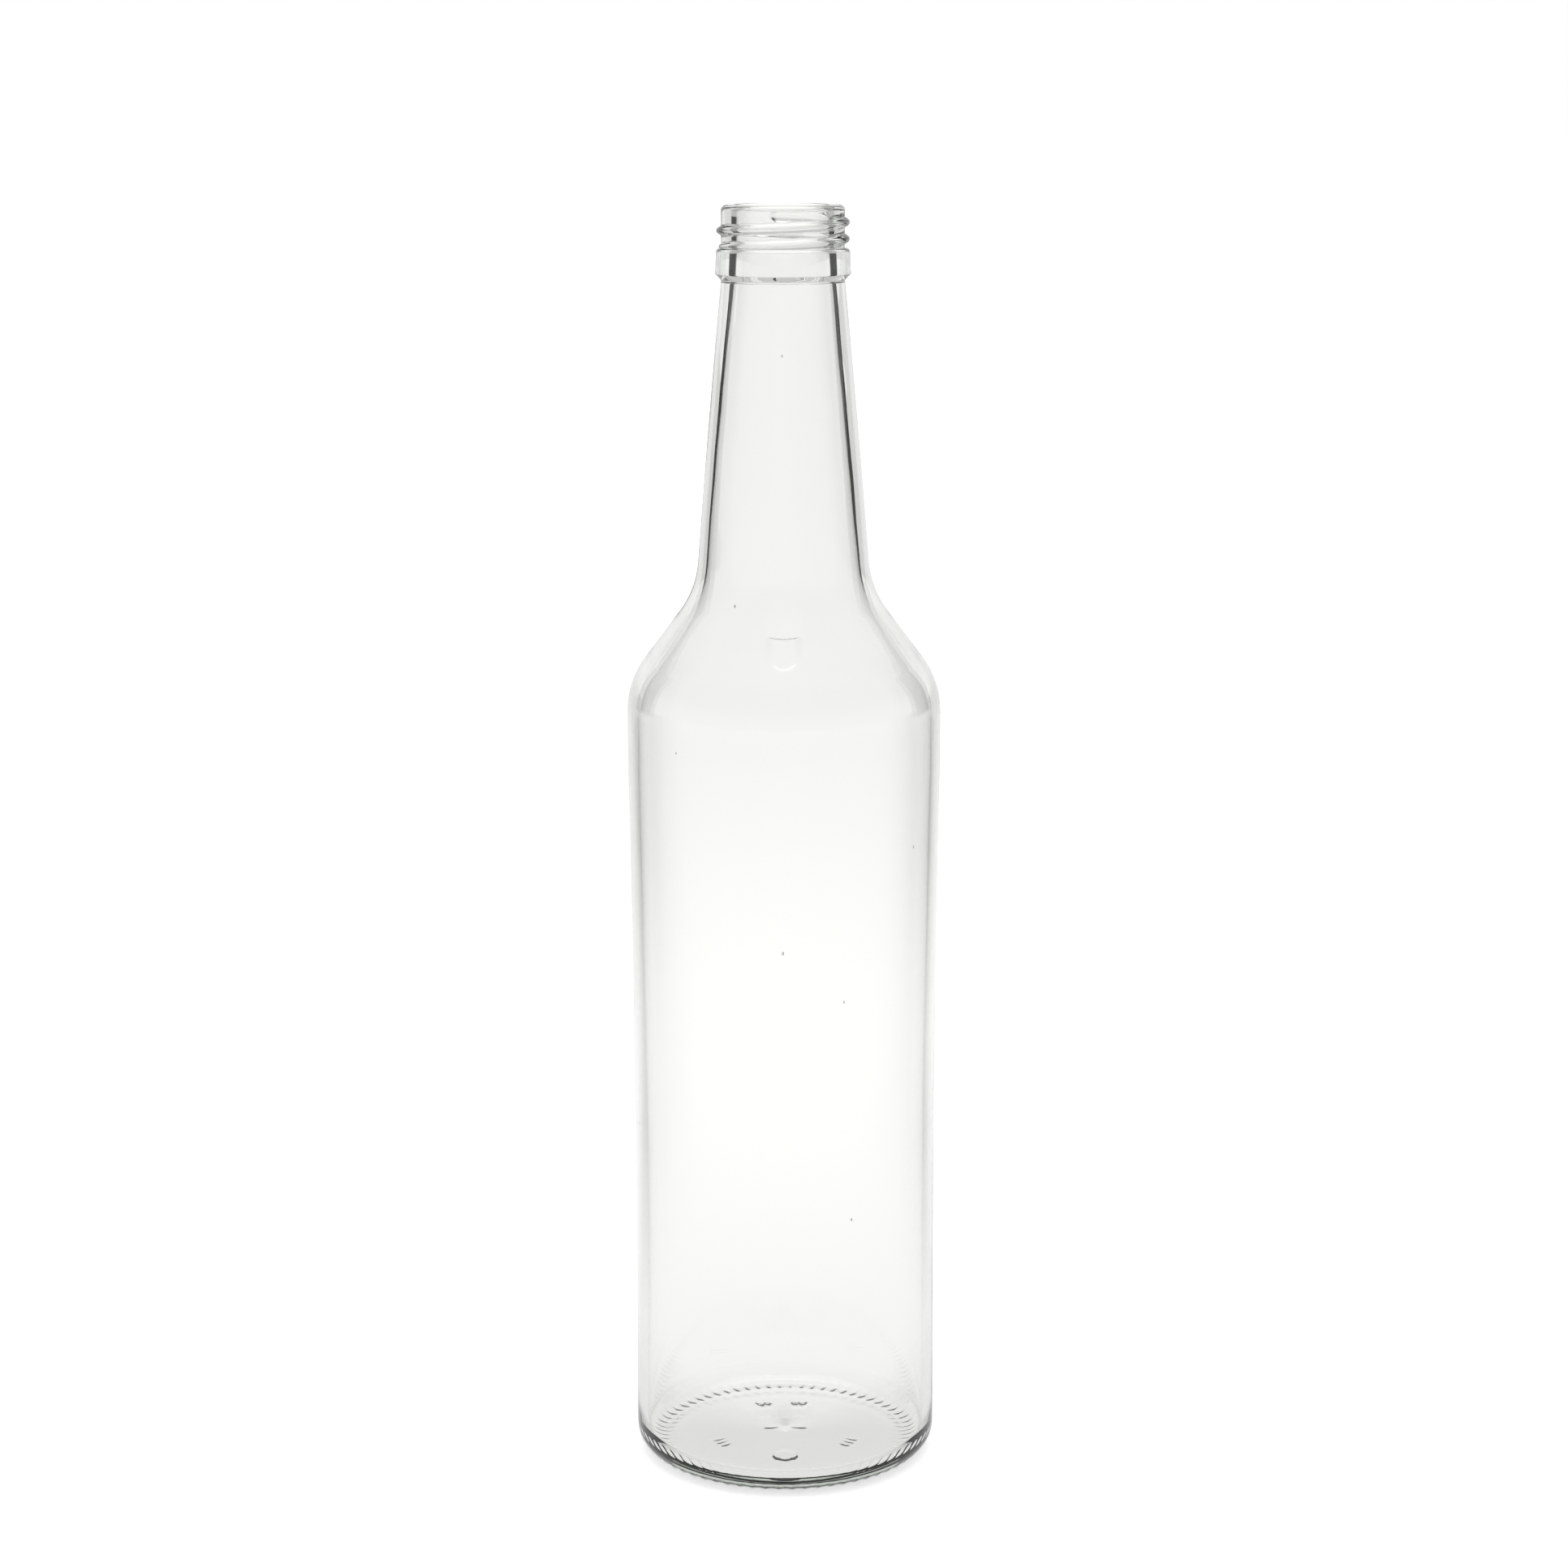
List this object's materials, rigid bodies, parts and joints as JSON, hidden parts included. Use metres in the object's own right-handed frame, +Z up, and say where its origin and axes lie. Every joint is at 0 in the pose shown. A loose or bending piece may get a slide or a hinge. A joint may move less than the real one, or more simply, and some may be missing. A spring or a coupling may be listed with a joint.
{
  "type": "glass bottle",
  "caption": "Empty clear glass screw-top bottle with a long neck, sloping shoulder, waisted label panel and knurled push-up base.",
  "frame": {"origin": "centre of the underside, on the surface the bottle stands on", "axes": "+Z up along the bottle's axis, towards the mouth; -Y is the side with the shoulder notch"},
  "size_m": [0.0662, 0.0662, 0.268],
  "materials": {
    "glass": "gloss"
  },
  "bodies": {
    "root": {"bottle": "glass"}
  },
  "joints": []
}
